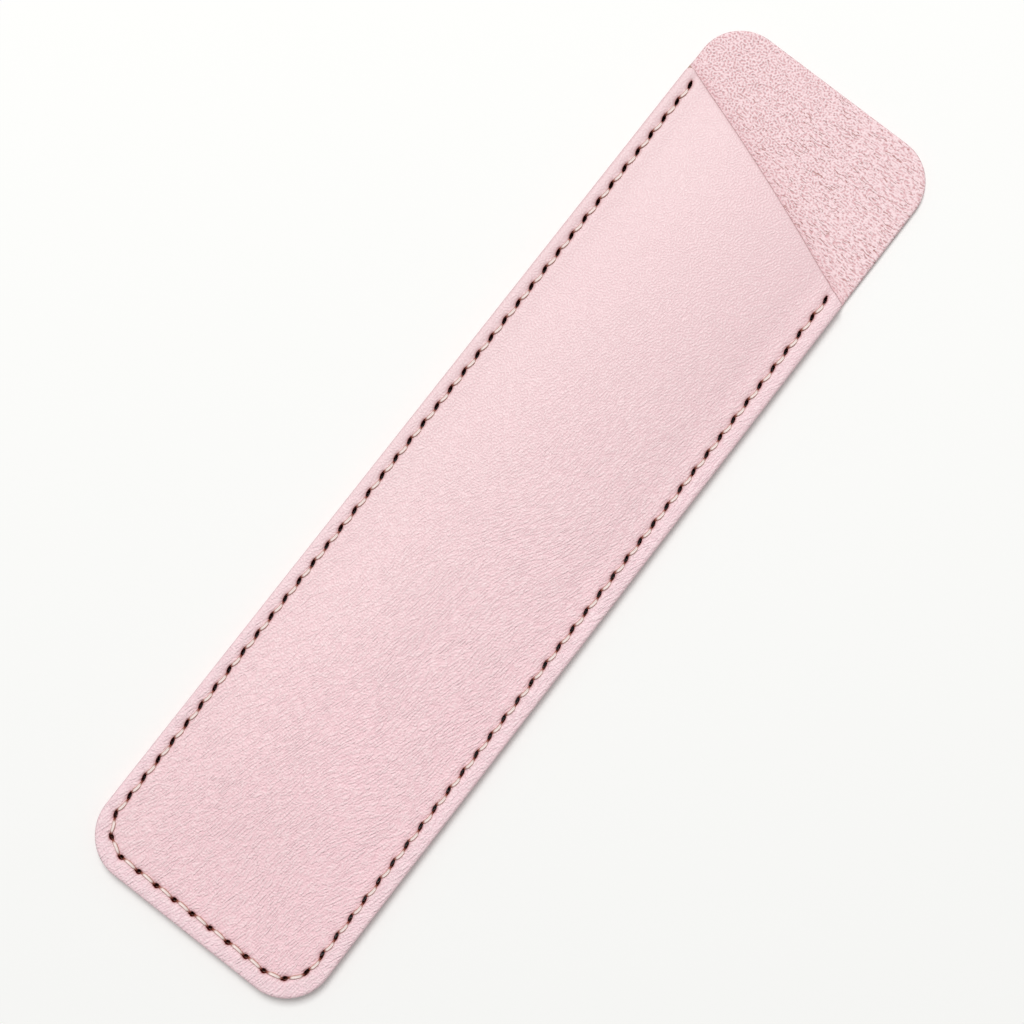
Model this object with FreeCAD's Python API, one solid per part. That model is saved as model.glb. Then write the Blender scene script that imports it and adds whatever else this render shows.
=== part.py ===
import FreeCAD, Part
import math
import os

# Single pen sleeve, lying on its back: X across the width, Y along the length towards the mouth, Z up.
# The origin is on the back face, in the middle of the length and the width. Millimetres.

# Driving dimensions of the two leather panels
LENGTH = 163.0             # back panel, from the bottom edge to the top of the tab
WIDTH = 41.9               # both panels, edge to edge
CORNER_RADIUS = 7.5        # outer corners
LEATHER = 1.2              # thickness of each panel
MOUTH_DROP_LEFT = 11.1     # from the top of the tab down to the mouth, at the left edge
MOUTH_DROP_RIGHT = 27.2    # the same at the right edge

# Driving dimensions of the empty pocket
CROWN = 1.2                # how far the front panel stands off its own margin, in mid pocket
CROWN_SHOULDER = 14.0      # radius of the hollow bend where the crown leaves the margin
CROWN_RUN = 24.0           # length over which the crown rises above the bottom seam

# Driving dimensions of the seam
SEAM_LEFT = 2.1            # left edge to the line of stitches
SEAM_RIGHT = 2.7           # right edge to the line of stitches
SEAM_BOTTOM = 2.75         # bottom edge to the line of stitches
SEAM_RADIUS = 5.4          # turn of the line of stitches at the bottom corners
SEAM_SETBACK = 2.2         # mouth edge down to the end stitch hole
STITCH_PITCH = 3.38        # hole to hole along the seam
BOND_INSIDE = 1.8          # line of stitches to the inner border of the glued margin
ADHESIVE = 0.1             # thickness of the cement film

# Driving dimensions of the thread and of its holes
THREAD = 0.55              # diameter of the thread
HOLE_REACH = 0.64          # middle of a hole to each of the two strands that pass through it
HOLE_SLANT = 10.0          # degrees between a hole's long axis and the seam
FRONT_GROOVE = 0.25        # depth of the stitching groove in the front face
THREAD_ROOM = 0.04         # clearance between the thread and the leather round it
STRAND_ROOM = 0.08         # clearance between two strands side by side on the back

# Sizes that follow from the driving dimensions
THREAD_RADIUS = THREAD / 2
BEND_RADIUS = THREAD_RADIUS + THREAD_ROOM
MARGIN_BOTTOM = LEATHER + ADHESIVE
MARGIN_TOP = MARGIN_BOTTOM + LEATHER
BACK_GROOVE = THREAD + 2 * THREAD_ROOM
FRONT_STITCH_Z = MARGIN_TOP - FRONT_GROOVE + THREAD_ROOM + THREAD_RADIUS
BACK_STITCH_Z = BACK_GROOVE - THREAD_ROOM - THREAD_RADIUS
HOLE_ALONG = HOLE_REACH * math.cos(math.radians(HOLE_SLANT))
HOLE_ASIDE = HOLE_REACH * math.sin(math.radians(HOLE_SLANT))
PASS_ASIDE = THREAD + STRAND_ROOM - HOLE_ASIDE
CORNER_SAG = STITCH_PITCH ** 2 / (8 * SEAM_RADIUS)
FRONT_GROOVE_HALF = HOLE_ASIDE + THREAD_RADIUS + THREAD_ROOM + CORNER_SAG
BACK_GROOVE_HALF = PASS_ASIDE + THREAD_RADIUS + THREAD_ROOM + CORNER_SAG
HOLE_HALF_WIDTH = THREAD_RADIUS + THREAD_ROOM
OVERCUT = CORNER_RADIUS    # how far cutting bodies run past the object

LEFT = -WIDTH / 2
RIGHT = WIDTH / 2
BOTTOM = -LENGTH / 2
TOP = LENGTH / 2
UP = FreeCAD.Vector(0, 0, 1)


def mouth_at(x):
    """Y of the mouth edge at this X: a straight slant between the two drops."""
    share = (x - LEFT) / WIDTH
    return TOP - MOUTH_DROP_LEFT - share * (MOUTH_DROP_RIGHT - MOUTH_DROP_LEFT)


def prism(edges, z, height):
    """Solid that stands on a closed loop of edges drawn at Z 0, from z upwards."""
    face = Part.Face(Part.Wire(edges))
    face.translate(UP * z)
    return face.extrude(UP * height)


def rounded_plate(left, right, bottom, top, radius, z, height):
    """Plate with four corners of the same radius."""
    bend = radius * (1 - math.sqrt(0.5))
    corners = ((left, bottom, 1, 1), (right, bottom, -1, 1), (right, top, -1, -1), (left, top, 1, -1))
    arcs = []
    for x, y, inward_x, inward_y in corners:
        on_side = FreeCAD.Vector(x, y + inward_y * radius, 0)
        on_end = FreeCAD.Vector(x + inward_x * radius, y, 0)
        middle = FreeCAD.Vector(x + inward_x * bend, y + inward_y * bend, 0)
        ends = (on_side, on_end) if inward_x == inward_y else (on_end, on_side)
        arcs.append((ends[0], middle, ends[1]))
    edges = []
    for index, arc in enumerate(arcs):
        start_of_next = arcs[(index + 1) % len(arcs)][0]
        edges.append(Part.Arc(*arc).toShape())
        edges.append(Part.LineSegment(arc[2], start_of_next).toShape())
    return prism(edges, z, height)


def outline_plate(z, height):
    """Plate with the outline of the whole sleeve."""
    return rounded_plate(LEFT, RIGHT, BOTTOM, TOP, CORNER_RADIUS, z, height)


def seam_plate(inward, z, height):
    """Plate inside the line of stitches moved inward, running on past the top of the tab."""
    left = LEFT + SEAM_LEFT + inward
    right = RIGHT - SEAM_RIGHT - inward
    bottom = BOTTOM + SEAM_BOTTOM + inward
    return rounded_plate(left, right, bottom, TOP + OVERCUT, SEAM_RADIUS - inward, z, height)


def above_mouth(z, height):
    """Cutting body over all that lies above the slanted mouth."""
    left = LEFT - OVERCUT
    right = RIGHT + OVERCUT
    high = TOP + 2 * OVERCUT
    corners = [(left, mouth_at(left)), (right, mouth_at(right)), (right, high), (left, high)]
    points = [FreeCAD.Vector(x, y, 0) for x, y in corners]
    loop = Part.makePolygon(points + points[:1])
    return prism(loop.Edges, z, height)


def stitch_groove(half_width, z, height):
    """Band along the line of stitches, from mouth to mouth."""
    band = seam_plate(-half_width, z, height).cut(seam_plate(half_width, z, height))
    return band.cut(above_mouth(z, height))


def seam_line():
    """Line of stitches from its left end at the mouth, down, along the bottom and up to its right end."""
    left = LEFT + SEAM_LEFT
    right = RIGHT - SEAM_RIGHT
    low = BOTTOM + SEAM_BOTTOM
    bend = SEAM_RADIUS * (1 - math.sqrt(0.5))
    start = FreeCAD.Vector(left, mouth_at(left) - SEAM_SETBACK, 0)
    left_turn = FreeCAD.Vector(left, low + SEAM_RADIUS, 0)
    left_foot = FreeCAD.Vector(left + SEAM_RADIUS, low, 0)
    right_foot = FreeCAD.Vector(right - SEAM_RADIUS, low, 0)
    right_turn = FreeCAD.Vector(right, low + SEAM_RADIUS, 0)
    end = FreeCAD.Vector(right, mouth_at(right) - SEAM_SETBACK, 0)
    left_corner = FreeCAD.Vector(left + bend, low + bend, 0)
    right_corner = FreeCAD.Vector(right - bend, low + bend, 0)
    curves = [
        Part.LineSegment(start, left_turn),
        Part.Arc(left_turn, left_corner, left_foot),
        Part.LineSegment(left_foot, right_foot),
        Part.Arc(right_foot, right_corner, right_turn),
        Part.LineSegment(right_turn, end),
    ]
    return Part.Wire([curve.toShape() for curve in curves])


def stitch_holes():
    """Middle, seam direction and inward direction of every stitch hole, in sewing order."""
    seam = seam_line()
    middles = seam.discretize(Number=round(seam.Length / STITCH_PITCH) + 1)
    holes = []
    for index, middle in enumerate(middles):
        before = middles[max(index - 1, 0)]
        after = middles[min(index + 1, len(middles) - 1)]
        along = (after - before).normalize()
        holes.append((middle, along, UP.cross(along)))
    return holes


def from_hole(hole, along, aside, z):
    """Point at this distance along the seam and inward from the middle of a hole, at height z."""
    middle, seam_direction, inward = hole
    return middle + seam_direction * along + inward * aside + UP * z


def hole_cutters(holes):
    """Slits of the pricking iron, right through the seam, each with two rounded ends."""
    cutters = []
    side_along = HOLE_HALF_WIDTH * math.sin(math.radians(HOLE_SLANT))
    side_aside = HOLE_HALF_WIDTH * math.cos(math.radians(HOLE_SLANT))
    tip = HOLE_REACH + HOLE_HALF_WIDTH
    tip_along = tip * math.cos(math.radians(HOLE_SLANT))
    tip_aside = tip * math.sin(math.radians(HOLE_SLANT))
    for hole in holes:
        near_out = from_hole(hole, -HOLE_ALONG + side_along, -HOLE_ASIDE - side_aside, 0)
        far_out = from_hole(hole, HOLE_ALONG + side_along, HOLE_ASIDE - side_aside, 0)
        far_in = from_hole(hole, HOLE_ALONG - side_along, HOLE_ASIDE + side_aside, 0)
        near_in = from_hole(hole, -HOLE_ALONG - side_along, -HOLE_ASIDE + side_aside, 0)
        far_tip = from_hole(hole, tip_along, tip_aside, 0)
        near_tip = from_hole(hole, -tip_along, -tip_aside, 0)
        edges = [
            Part.LineSegment(near_out, far_out).toShape(),
            Part.Arc(far_out, far_tip, far_in).toShape(),
            Part.LineSegment(far_in, near_in).toShape(),
            Part.Arc(near_in, near_tip, near_out).toShape(),
        ]
        cutters.append(prism(edges, -LEATHER, MARGIN_TOP + 2 * LEATHER))
    return Part.makeCompound(cutters)


def back_panel(holes):
    """Full length panel, flat, with a groove in its back face that takes the stitches flush."""
    panel = outline_plate(0, LEATHER)
    panel = panel.cut(stitch_groove(BACK_GROOVE_HALF, -LEATHER, LEATHER + BACK_GROOVE))
    return panel.cut(hole_cutters(holes))


def seam_adhesive(holes):
    """Cement film in the margin on the left, the bottom and the right, up to the mouth."""
    film = outline_plate(LEATHER, ADHESIVE)
    film = film.cut(seam_plate(BOND_INSIDE, 0, MARGIN_TOP))
    film = film.cut(above_mouth(0, MARGIN_TOP))
    return film.cut(hole_cutters(holes))


def crown_edges(y, surface, shoulder, raised):
    """One face of the front panel's section at y, from left to right.

    The margins are level at the height of the surface. Between them a hollow bend of the shoulder's
    radius, a long crest and a second hollow bend follow each other at a tangent, and the crest stands
    at the crown's height above the margins. Where the section isn't raised, all five are straight.
    """
    start = LEFT + SEAM_LEFT + BOND_INSIDE
    finish = RIGHT - SEAM_RIGHT - BOND_INSIDE
    half = (finish - start) / 2
    slope = 2 * math.atan(CROWN / half)
    bend_run = shoulder * math.sin(slope)
    bend_rise = shoulder * (1 - math.cos(slope))
    half_run = shoulder * math.sin(slope / 2)
    half_rise = shoulder * (1 - math.cos(slope / 2))
    lift = 1 if raised else 0

    def at(x, height):
        return FreeCAD.Vector(x, y, surface + lift * height)

    ends = [at(LEFT - OVERCUT, 0), at(start, 0), at(start + bend_run, bend_rise),
            at(finish - bend_run, bend_rise), at(finish, 0), at(RIGHT + OVERCUT, 0)]
    middles = [None, at(start + half_run, half_rise), at(start + half, CROWN),
               at(finish - half_run, half_rise), None]
    edges = []
    for first, middle, last in zip(ends[:-1], middles, ends[1:]):
        curve = Part.Arc(first, middle, last) if raised and middle else Part.LineSegment(first, last)
        edges.append(curve.toShape())
    return edges


def front_section(y, raised):
    """Closed section of the front panel at y, of even thickness."""
    upper = crown_edges(y, MARGIN_TOP, CROWN_SHOULDER, raised)
    lower = crown_edges(y, MARGIN_BOTTOM, CROWN_SHOULDER + LEATHER, raised)
    right_side = Part.LineSegment(upper[-1].Vertexes[1].Point, lower[-1].Vertexes[1].Point).toShape()
    left_side = Part.LineSegment(lower[0].Vertexes[0].Point, upper[0].Vertexes[0].Point).toShape()
    return Part.Wire(upper + [right_side] + lower[::-1] + [left_side])


def front_panel(holes):
    """Panel with level glued margins and a low crown over the pocket, cut off at the slanted mouth."""
    pocket_end = BOTTOM + SEAM_BOTTOM + BOND_INSIDE
    crown_start = pocket_end + CROWN_RUN
    flat = Part.Face(front_section(BOTTOM - OVERCUT, False))
    flat = flat.extrude(FreeCAD.Vector(0, pocket_end - BOTTOM + OVERCUT, 0))
    rising = Part.makeLoft([front_section(pocket_end, False), front_section(crown_start, True)], True, True)
    crowned = Part.Face(front_section(crown_start, True))
    crowned = crowned.extrude(FreeCAD.Vector(0, TOP - crown_start, 0))
    panel = flat.fuse([rising, crowned]).removeSplitter()
    panel = panel.common(outline_plate(0, MARGIN_TOP + CROWN + LEATHER))
    panel = panel.cut(above_mouth(0, MARGIN_TOP + CROWN + LEATHER))
    panel = panel.cut(stitch_groove(FRONT_GROOVE_HALF, MARGIN_TOP - FRONT_GROOVE, LEATHER))
    return panel.cut(hole_cutters(holes))


def strand_points(holes, first_on_front):
    """Corner points of one needle's strand from the first hole to the last.

    A stitch on the front runs from the far end of one hole to the near end of the next. A stitch on
    the back runs from the near end of one hole to the far end of the next, and swings aside past the
    other strand at both of them.
    """
    points = []
    on_front = first_on_front
    for hole, following in zip(holes[:-1], holes[1:]):
        if on_front:
            points.append(from_hole(hole, HOLE_ALONG, HOLE_ASIDE, FRONT_STITCH_Z))
            points.append(from_hole(following, -HOLE_ALONG, -HOLE_ASIDE, FRONT_STITCH_Z))
        else:
            points.append(from_hole(hole, -HOLE_ALONG, -HOLE_ASIDE, BACK_STITCH_Z))
            points.append(from_hole(hole, HOLE_ALONG, -PASS_ASIDE, BACK_STITCH_Z))
            points.append(from_hole(following, -HOLE_ALONG, PASS_ASIDE, BACK_STITCH_Z))
            points.append(from_hole(following, HOLE_ALONG, HOLE_ASIDE, BACK_STITCH_Z))
        on_front = not on_front
    if not on_front:
        points.append(from_hole(holes[-1], -HOLE_ALONG, -HOLE_ASIDE, BACK_STITCH_Z))
    return points


def rounded_path(points):
    """Wire of straight runs through the points, each corner turned with a tangent arc."""
    edges = []
    run_start = points[0]
    for before, corner, after in zip(points[:-2], points[1:-1], points[2:]):
        into = (corner - before).normalize()
        out = (after - corner).normalize()
        turn = into.getAngle(out)
        cut_back = BEND_RADIUS * math.tan(turn / 2)
        arc_start = corner - into * cut_back
        arc_end = corner + out * cut_back
        towards_centre = (out - into).normalize()
        centre = corner + towards_centre * (BEND_RADIUS / math.cos(turn / 2))
        edges.append(Part.LineSegment(run_start, arc_start).toShape())
        edges.append(Part.Arc(arc_start, centre - towards_centre * BEND_RADIUS, arc_end).toShape())
        run_start = arc_end
    edges.append(Part.LineSegment(run_start, points[-1]).toShape())
    return Part.Wire(edges)


def stitching_thread(holes):
    """One unbroken thread: both needles' strands, which start together in the first hole."""
    first = strand_points(holes, True)
    second = strand_points(holes, False)
    path = rounded_path(first[::-1] + second)
    direction = (path.Edges[0].Vertexes[1].Point - path.Edges[0].Vertexes[0].Point).normalize()
    section = Part.Wire(Part.makeCircle(THREAD_RADIUS, first[-1], direction))
    thread = path.makePipeShell([section], True, False)
    expected = math.pi * THREAD_RADIUS ** 2 * path.Length
    print(f"thread {path.Length:.0f} mm long, {thread.Volume:.2f} of {expected:.2f} cubic mm expected")
    return thread


holes = stitch_holes()
print(f"{len(holes)} stitch holes, {seam_line().Length / (len(holes) - 1):.3f} mm apart")
nodes = {
    "back_panel": back_panel(holes),
    "seam_adhesive": seam_adhesive(holes),
    "front_panel": front_panel(holes),
    "stitching_thread": stitching_thread(holes),
}
os.makedirs("parts", exist_ok=True)
for name, shape in nodes.items():
    shape.exportStep(f"parts/{name}.step")
    print(f"{name}: {len(shape.Solids)} solid, valid {shape.isValid()}, {shape.Volume:.1f} cubic mm")
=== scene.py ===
# %% [markdown]
# # A leather sleeve for one pen
# Two leather panels are glued and sewn together on three sides. The front one stops at a slanted mouth,
# and the back one goes on above it as a rounded tab that shows its suede side. This file dresses the
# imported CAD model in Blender: it keeps every size and place of the model, and adds what leather and
# thread look like. The model comes first, because its boxes say where everything goes.

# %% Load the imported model
import math

import bpy
import numpy as np
from mathutils import Matrix, Vector
from mathutils.geometry import delaunay_2d_cdt


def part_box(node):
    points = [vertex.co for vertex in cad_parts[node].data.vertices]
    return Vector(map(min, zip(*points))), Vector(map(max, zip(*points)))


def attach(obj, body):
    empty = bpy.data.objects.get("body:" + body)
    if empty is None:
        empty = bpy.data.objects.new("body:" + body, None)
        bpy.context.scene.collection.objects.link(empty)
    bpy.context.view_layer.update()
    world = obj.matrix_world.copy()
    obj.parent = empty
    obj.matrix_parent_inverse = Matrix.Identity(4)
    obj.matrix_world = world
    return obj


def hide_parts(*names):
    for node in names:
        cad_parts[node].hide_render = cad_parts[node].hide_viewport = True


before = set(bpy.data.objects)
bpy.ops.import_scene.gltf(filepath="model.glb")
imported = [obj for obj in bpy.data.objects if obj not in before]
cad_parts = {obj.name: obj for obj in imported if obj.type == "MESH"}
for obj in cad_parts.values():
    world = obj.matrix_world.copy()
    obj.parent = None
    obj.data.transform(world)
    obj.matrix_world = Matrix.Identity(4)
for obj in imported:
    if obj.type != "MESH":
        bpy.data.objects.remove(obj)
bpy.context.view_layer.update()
print("nodes in the frame:", sorted(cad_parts))

# %% [markdown]
# ## Sizes
# Shapes are worked out in millimetres, which suit a sleeve, and `MM` turns them into Blender's metres
# when a mesh is made. The panels' sizes are read from the model's boxes. The seam has no box of its
# own, so its margins and stitch length are written here as a maker would give them.

# %% Sizes of the panels, the seam and the thread
MM = 0.001


def node_box(node):
    """Lowest and highest corner of a CAD node, in millimetres."""
    low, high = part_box(node)
    return np.array(low) / MM, np.array(high) / MM


back_low, back_high = node_box("back_panel")
front_low, front_high = node_box("front_panel")
LEFT, BOTTOM, FLOOR = back_low
RIGHT, TOP, LEATHER = back_high
MARGIN_BOTTOM = front_low[2]
MARGIN_TOP = MARGIN_BOTTOM + LEATHER
CROWN = front_high[2] - MARGIN_TOP
MOUTH_LEFT = front_high[1]
MOUTH_FALL = 16.1          # how much lower the mouth is at the right edge
CORNER_RADIUS = 7.5        # outer corners of the panels
MOUTH_RADIUS = 1.0         # the front panel's own corners at the ends of the mouth

SEAM_LEFT = 2.1            # edge to the line of stitches
SEAM_RIGHT = 2.7
SEAM_BOTTOM = 2.75
SEAM_RADIUS = 5.4          # turn of the line of stitches at the bottom corners
SEAM_SETBACK = 2.2         # mouth edge down to the end hole
STITCH_PITCH = 3.38        # hole to hole
BOND_INSIDE = 1.8          # line of stitches to the inner border of the glued margin
HOLE_REACH = 0.64          # middle of a hole to each strand in it
HOLE_SLANT = math.radians(15.0)
HOLE_HALF_WIDTH = 0.29
HOLE_WIDER = 0.35          # share by which the slits along the bottom are wider
HOLE_SHORTER = 0.38        # share by which they are shorter
HOLE_TAPER = 0.45          # share by which a slit is narrower at its ends than in its middle
FRONT_GROOVE = 0.2         # depth of the seam's valley in the front
BACK_GROOVE = 0.63         # depth of the channel in the back that takes the stitches flush
CROWN_SHOULDER = 14.0      # radius of the hollow bend beside the margin
CROWN_RUN = 24.0           # length over which the crown rises above the bottom seam
THREAD = 0.55              # thickness of the thread

WIDTH = RIGHT - LEFT
MOUTH_SLOPE = -MOUTH_FALL / WIDTH
SEAM_X = (LEFT + SEAM_LEFT, RIGHT - SEAM_RIGHT)
SEAM_Y = BOTTOM + SEAM_BOTTOM
print(f"panels {WIDTH:.1f} by {TOP - BOTTOM:.1f} mm, leather {LEATHER:.2f} mm, crown {CROWN:.2f} mm")

# %% [markdown]
# ## The line of stitches
# Everything along the seam hangs on one curve: straight down the left side, a quarter circle, along
# the bottom, a second quarter circle, and straight up the right side. Because each stretch adds its
# own share to X and Y, the whole curve is two sums of clipped lengths, with no cases to tell apart.

# %% The seam curve and its holes
def mouth_y(x):
    """Y of the mouth at each X: a straight line from its left end."""
    return MOUTH_LEFT + MOUTH_SLOPE * (x - LEFT)


SEAM_START = mouth_y(SEAM_X[0]) - SEAM_SETBACK
SEAM_END = mouth_y(SEAM_X[1]) - SEAM_SETBACK
QUARTER = SEAM_RADIUS * math.pi / 2
LEFT_RUN = SEAM_START - SEAM_Y - SEAM_RADIUS
BOTTOM_RUN = SEAM_X[1] - SEAM_X[0] - 2 * SEAM_RADIUS
RIGHT_RUN = SEAM_END - SEAM_Y - SEAM_RADIUS
SEAM_LENGTH = LEFT_RUN + BOTTOM_RUN + RIGHT_RUN + 2 * QUARTER


def seam_at(distance):
    """Point, direction along the seam and direction inward, at each distance from the left end.

    X is the left line, plus what the first turn moves to the right, plus the bottom run, plus what the
    second turn moves. Y falls along the left run and the first turn and rises in the second turn and
    the right run. The heading goes from straight down through level to straight up.
    """
    first = np.clip((distance - LEFT_RUN) / SEAM_RADIUS, 0, math.pi / 2)
    run = np.clip(distance - LEFT_RUN - QUARTER, 0, BOTTOM_RUN)
    second = np.clip((distance - LEFT_RUN - QUARTER - BOTTOM_RUN) / SEAM_RADIUS, 0, math.pi / 2)
    climb = np.maximum(distance - LEFT_RUN - 2 * QUARTER - BOTTOM_RUN, 0)
    x = SEAM_X[0] + SEAM_RADIUS * (1 - np.cos(first)) + run + SEAM_RADIUS * np.sin(second)
    y = SEAM_START - np.minimum(distance, LEFT_RUN) - SEAM_RADIUS * np.sin(first)
    y = y + SEAM_RADIUS * (1 - np.cos(second)) + climb
    heading = first + second - math.pi / 2
    along = np.stack([np.cos(heading), np.sin(heading)], -1)
    inward = np.stack([-np.sin(heading), np.cos(heading)], -1)
    return np.stack([x, y], -1), along, inward


hole_count = round(SEAM_LENGTH / STITCH_PITCH) + 1
hole_middle, hole_along, hole_inward = seam_at(np.linspace(0, SEAM_LENGTH, hole_count))
slit_long = math.cos(HOLE_SLANT) * hole_along + math.sin(HOLE_SLANT) * hole_inward
slit_wide = math.cos(HOLE_SLANT) * hole_inward - math.sin(HOLE_SLANT) * hole_along
slit_half = HOLE_HALF_WIDTH * (1 + HOLE_WIDER * np.abs(hole_along[:, 0]))
slit_reach = HOLE_REACH * (1 - HOLE_SHORTER * np.abs(hole_along[:, 0]))
print(f"{hole_count} holes, {SEAM_LENGTH / (hole_count - 1):.3f} mm apart")

# %% [markdown]
# ## Distances on the pattern
# A height map over a leather panel needs to know, at each point, how far the seam, the nearest hole and
# the panel's edge are. These are short formulas, so they work on all the points of a panel at once.

# %% Distance functions
def seam_inset(points):
    """Distance inward from the line of stitches, negative outside it: a rounded box open at the top."""
    middle = sum(SEAM_X) / 2
    half = (SEAM_X[1] - SEAM_X[0]) / 2
    side = np.abs(points[:, 0] - middle) - half + SEAM_RADIUS
    below = SEAM_Y + SEAM_RADIUS - points[:, 1]
    corner = np.hypot(np.maximum(side, 0), np.maximum(below, 0))
    return SEAM_RADIUS - corner - np.minimum(np.maximum(side, below), 0)


def mouth_inset(points):
    """Distance below the slanted mouth."""
    return (mouth_y(points[:, 0]) - points[:, 1]) / math.hypot(1, MOUTH_SLOPE)


def slit_half_width(lengthways):
    """Half width of every slit at a distance from its middle: widest there, and narrower towards the ends."""
    share = np.clip(np.abs(lengthways) / slit_reach, 0, 1)
    return slit_half * (1 - HOLE_TAPER * share ** 2)


def hole_gap(points):
    """Distance to the rim of the nearest slit: that to its middle line, less its half width there."""
    offset = points[:, None, :] - hole_middle[None, :, :]
    lengthways = np.abs((offset * slit_long).sum(-1))
    crossways = (offset * slit_wide).sum(-1)
    beyond = np.maximum(lengthways - slit_reach, 0)
    return (np.hypot(beyond, crossways) - slit_half_width(lengthways)).min(1)


def smooth_step(value, start, end):
    """0 before start, 1 after end, and a soft S between."""
    share = np.clip((value - start) / (end - start), 0, 1)
    return share * share * (3 - 2 * share)


# %% [markdown]
# ## The cut pattern
# A panel is first a flat pattern: an outline with rounded corners and some ninety slits from a pricking
# iron. A plain grid can't follow so many small slits, and a Boolean would leave ragged faces round
# them. So the pattern is a cloud of points that follows the outline and the slits in rings, with
# staggered rows in between, and a Delaunay triangulation joins them into even triangles. The triangles
# inside a slit are then left out, which makes each slit a real hole.

# %% Points and triangles of a pattern
EDGE_STEP = 0.42           # spacing of points along an outline
LEAST_ARC_STEPS = 5        # steps round a small corner
EDGE_RINGS = (0.0, 0.035, 0.13, 0.27, 0.45, 0.75)
SLIT_RINGS = (0.0, 0.06, 0.15, 0.28, 0.45)
SLIT_POINTS = 7            # points along a slit's side, and round its end
FILL_STEP = 0.62           # spacing of the staggered rows
FILL_FROM_EDGE = 1.1
FILL_FROM_SLIT = 0.75
SAME_POINT = 1e-7          # distance within which the triangulation takes two points for one


def rounded_outline(corners, radii):
    """Points and outward normals round a convex shape, anticlockwise, and which of them lie on arcs.

    The centre of a corner's arc lies its radius inside both sides. The arc turns from one side's
    normal to the next one's, and straight runs join the arcs.
    """
    corners = np.array(corners)
    radii = np.array(radii)
    into = corners - np.roll(corners, 1, 0)
    into /= np.linalg.norm(into, axis=1)[:, None]
    before = np.stack([into[:, 1], -into[:, 0]], 1)
    after = np.roll(before, -1, 0)
    centres = corners - (before + after) * (radii / (1 + (before * after).sum(1)))[:, None]
    turn = np.arccos((before * after).sum(1))
    start = np.arctan2(before[:, 1], before[:, 0])
    points, normals, on_arc = [], [], []
    for index in range(len(corners)):
        steps = max(LEAST_ARC_STEPS, math.ceil(radii[index] * turn[index] / EDGE_STEP))
        angle = start[index] + np.linspace(0, turn[index], steps + 1)
        normal = np.stack([np.cos(angle), np.sin(angle)], 1)
        arc = centres[index] + radii[index] * normal
        following = (index + 1) % len(corners)
        arc_next = centres[following] + radii[following] * after[index]
        side_steps = math.ceil(np.linalg.norm(arc_next - arc[-1]) / EDGE_STEP)
        share = np.linspace(0, 1, side_steps + 1)[1:-1, None]
        side = arc[-1] * (1 - share) + arc_next * share
        points += [arc, side]
        normals += [normal, np.repeat(after[index:index + 1], len(side), 0)]
        on_arc += [np.ones(len(arc), bool), np.zeros(len(side), bool)]
    return np.concatenate(points), np.concatenate(normals), np.concatenate(on_arc)


def edge_inset(points, outline):
    """Distance inward from a convex outline: the least distance to the tangents at its arcs."""
    edge, normal, on_arc = outline
    reach = (edge[on_arc] * normal[on_arc]).sum(1)
    return (reach - points @ normal[on_arc].T).min(1)


def slit_loop(grow):
    """Loop of points round every slit, grown outward: two bulging sides and two half circles."""
    side = np.linspace(-1, 1, SLIT_POINTS)[:, None] * slit_reach
    angle = np.linspace(-math.pi / 2, math.pi / 2, SLIT_POINTS)[1:-1, None]
    radius = slit_half_width(slit_reach) + grow
    tip = slit_reach + radius * np.cos(angle)
    lengthways = np.concatenate([side, tip, -side, -tip]).T
    bulge = slit_half_width(side) + grow
    across = radius * np.sin(angle)
    crossways = np.concatenate([-bulge, across, bulge, -across]).T
    loops = lengthways[..., None] * slit_long[:, None, :] + crossways[..., None] * slit_wide[:, None, :]
    return hole_middle[:, None, :] + loops


def staggered_rows():
    """Rows of points all over the sleeve, every second one moved by half a step.

    The rows are as far apart as an even triangle is high: its side times the root of three quarters.
    """
    columns = np.arange(LEFT, RIGHT, FILL_STEP)
    rows = np.arange(BOTTOM, TOP, FILL_STEP * math.sqrt(0.75))
    x, y = np.meshgrid(columns, rows)
    x = x + FILL_STEP / 2 * (np.arange(len(rows)) % 2)[:, None]
    return np.stack([x.ravel(), y.ravel()], 1)


def cut_pattern(corners, radii):
    """Points, triangles, outline loop and slit loops of a panel, and its outline for distances."""
    outline = rounded_outline(corners, radii)
    edge, normal, _ = outline
    rings = [edge - inset * normal for inset in EDGE_RINGS]
    slits = [slit_loop(grow).reshape(-1, 2) for grow in SLIT_RINGS]
    fill = staggered_rows()
    fill = fill[edge_inset(fill, outline) > FILL_FROM_EDGE]
    fill = fill[hole_gap(fill) > FILL_FROM_SLIT]
    outer = np.concatenate(slits[1:])
    outer = outer[edge_inset(outer, outline) > EDGE_RINGS[-1]]
    points = np.concatenate([rings[0], slits[0]] + rings[1:] + [outer, fill])
    edge_loop = np.arange(len(edge))
    slit_loops = len(edge) + np.arange(len(slits[0])).reshape(hole_count, -1)
    loop_edges = np.stack([edge_loop, np.roll(edge_loop, -1)], 1)
    slit_edges = np.stack([slit_loops, np.roll(slit_loops, -1, 1)], -1).reshape(-1, 2)
    edges = np.concatenate([loop_edges, slit_edges])
    joined = delaunay_2d_cdt(points.tolist(), edges.tolist(), [], 1, SAME_POINT, False)
    points = np.array(joined[0])
    triangles = np.array(joined[2])
    middles = points[triangles].mean(1)
    triangles = triangles[hole_gap(middles) > 0]
    first, second, third = points[triangles].transpose(1, 0, 2)
    area = np.cross(second - first, third - first)
    triangles[area < 0] = triangles[area < 0][:, ::-1]
    return points, triangles, edge_loop, slit_loops, outline


# %% [markdown]
# ## From pattern to panel
# A panel is the pattern twice, once for each face, each lifted by its own height map, with walls along
# the outline and inside the slits. The result is a closed solid of leather.

# %% Panel builder
SLIT_SHADE_WIDTH = 0.14    # fade of the painted shade round a slit
RIM_WIDTH = 0.18           # fade of the dark line along a cut edge
PANEL_SHARP = 50.0         # degrees above which an edge is shaded sharp


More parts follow.
